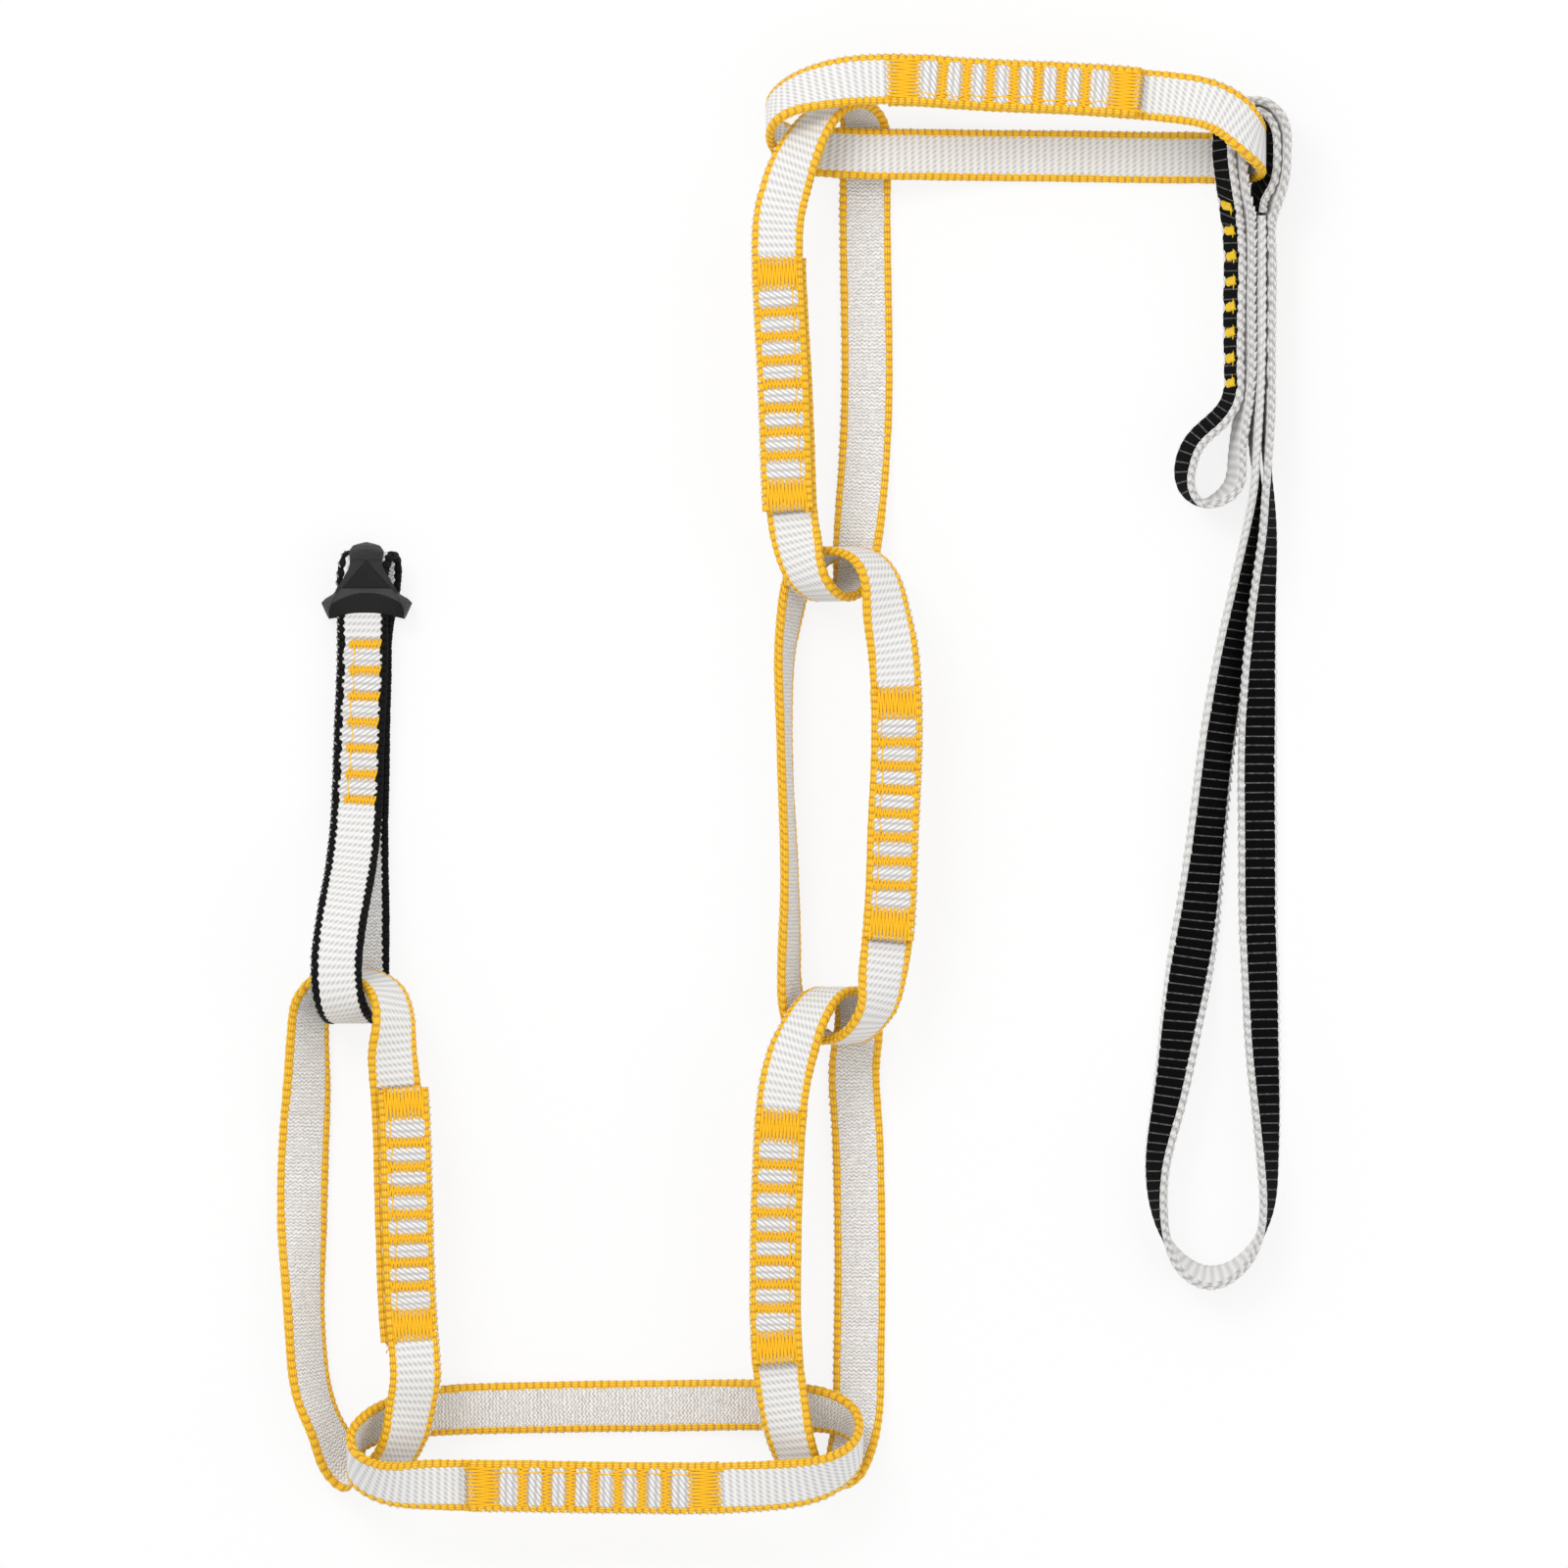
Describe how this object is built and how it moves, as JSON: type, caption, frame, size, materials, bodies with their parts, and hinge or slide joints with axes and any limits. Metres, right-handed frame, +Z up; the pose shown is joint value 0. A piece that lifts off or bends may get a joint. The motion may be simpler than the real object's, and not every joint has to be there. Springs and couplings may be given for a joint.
{
  "type": "climbing daisy chain",
  "caption": "Personal anchor chain of narrow sewn webbing rings threaded through one another, with an end sling held by a moulded rubber keeper and a long tie-in sling, laid on a flat surface.",
  "frame": {"origin": "centre of the plan box, on the surface that the chain lies on", "axes": "X across the layout, Y along it from the lowest link to the first link, Z up from the surface"},
  "size_m": [0.2488, 0.357, 0.0249],
  "materials": {
    "white_webbing": "woven white nylon and polyethylene webbing with coloured selvedges",
    "yellow_stitching": "dense satin bar tacks in bright yellow thread",
    "black_webbing": "woven webbing with a black ribbed outer face and a white inner face",
    "black_rubber": "matte moulded rubber with a fine grain"
  },
  "bodies": {
    "link_1": {"link_1_webbing": "white_webbing", "link_1_outer_tacks": "yellow_stitching", "link_1_inner_tacks": "yellow_stitching", "link_1_first_outer_end_tack": "yellow_stitching", "link_1_first_inner_end_tack": "yellow_stitching", "link_1_last_outer_end_tack": "yellow_stitching", "link_1_last_inner_end_tack": "yellow_stitching"},
    "link_2": {"link_2_webbing": "white_webbing", "link_2_outer_tacks": "yellow_stitching", "link_2_inner_tacks": "yellow_stitching", "link_2_first_outer_end_tack": "yellow_stitching", "link_2_first_inner_end_tack": "yellow_stitching", "link_2_last_outer_end_tack": "yellow_stitching", "link_2_last_inner_end_tack": "yellow_stitching"},
    "link_3": {"link_3_webbing": "white_webbing", "link_3_outer_tacks": "yellow_stitching", "link_3_inner_tacks": "yellow_stitching", "link_3_first_outer_end_tack": "yellow_stitching", "link_3_first_inner_end_tack": "yellow_stitching", "link_3_last_outer_end_tack": "yellow_stitching", "link_3_last_inner_end_tack": "yellow_stitching"},
    "link_4": {"link_4_webbing": "white_webbing", "link_4_outer_tacks": "yellow_stitching", "link_4_inner_tacks": "yellow_stitching", "link_4_first_outer_end_tack": "yellow_stitching", "link_4_first_inner_end_tack": "yellow_stitching", "link_4_last_outer_end_tack": "yellow_stitching", "link_4_last_inner_end_tack": "yellow_stitching"},
    "link_5": {"link_5_webbing": "white_webbing", "link_5_outer_tacks": "yellow_stitching", "link_5_inner_tacks": "yellow_stitching", "link_5_first_outer_end_tack": "yellow_stitching", "link_5_first_inner_end_tack": "yellow_stitching", "link_5_last_outer_end_tack": "yellow_stitching", "link_5_last_inner_end_tack": "yellow_stitching"},
    "link_6": {"link_6_webbing": "white_webbing", "link_6_outer_tacks": "yellow_stitching", "link_6_inner_tacks": "yellow_stitching", "link_6_first_outer_end_tack": "yellow_stitching", "link_6_first_inner_end_tack": "yellow_stitching", "link_6_last_outer_end_tack": "yellow_stitching", "link_6_last_inner_end_tack": "yellow_stitching"},
    "end_sling": {"end_sling_webbing": "white_webbing", "end_sling_front_tacks": "yellow_stitching", "end_sling_back_tacks": "yellow_stitching", "rubber_keeper": "black_rubber"},
    "tie_in_sling": {"tie_in_sling_webbing": "black_webbing", "tie_in_sling_left_tacks": "yellow_stitching", "tie_in_sling_right_tacks": "yellow_stitching"}
  },
  "joints": [
    {"name": "link_2_on_link_3", "type": "hinge", "parent": "link_3", "child": "link_2", "pos_m": [0.01831, 0.05455, 0], "axis": [0, 0, 1], "range_deg": [-2, 30]},
    {"name": "link_1_on_link_2", "type": "hinge", "parent": "link_2", "child": "link_1", "pos_m": [0.01402, 0.15957, 0], "axis": [0, 0, 1], "range_deg": [-3, 1]},
    {"name": "tie_in_sling_on_link_1", "type": "hinge", "parent": "link_1", "child": "tie_in_sling", "pos_m": [0.11477, 0.15346, 0], "axis": [0, 0, 1], "range_deg": [-5, 4]},
    {"name": "link_4_on_link_3", "type": "hinge", "parent": "link_3", "child": "link_4", "pos_m": [0.00739, -0.05736, 0], "axis": [0, 0, 1], "range_deg": [-10, 15]},
    {"name": "link_5_on_link_4", "type": "hinge", "parent": "link_4", "child": "link_5", "pos_m": [0.01454, -0.16758, 0], "axis": [0, 0, 1], "range_deg": [-8, 25]},
    {"name": "link_6_on_link_5", "type": "hinge", "parent": "link_5", "child": "link_6", "pos_m": [-0.10465, -0.16407, 0], "axis": [0, 0, 1], "range_deg": [-5, 24]},
    {"name": "end_sling_on_link_6", "type": "hinge", "parent": "link_6", "child": "end_sling", "pos_m": [-0.10465, -0.05372, 0], "axis": [0, 0, 1], "range_deg": [-5, 30]}
  ]
}
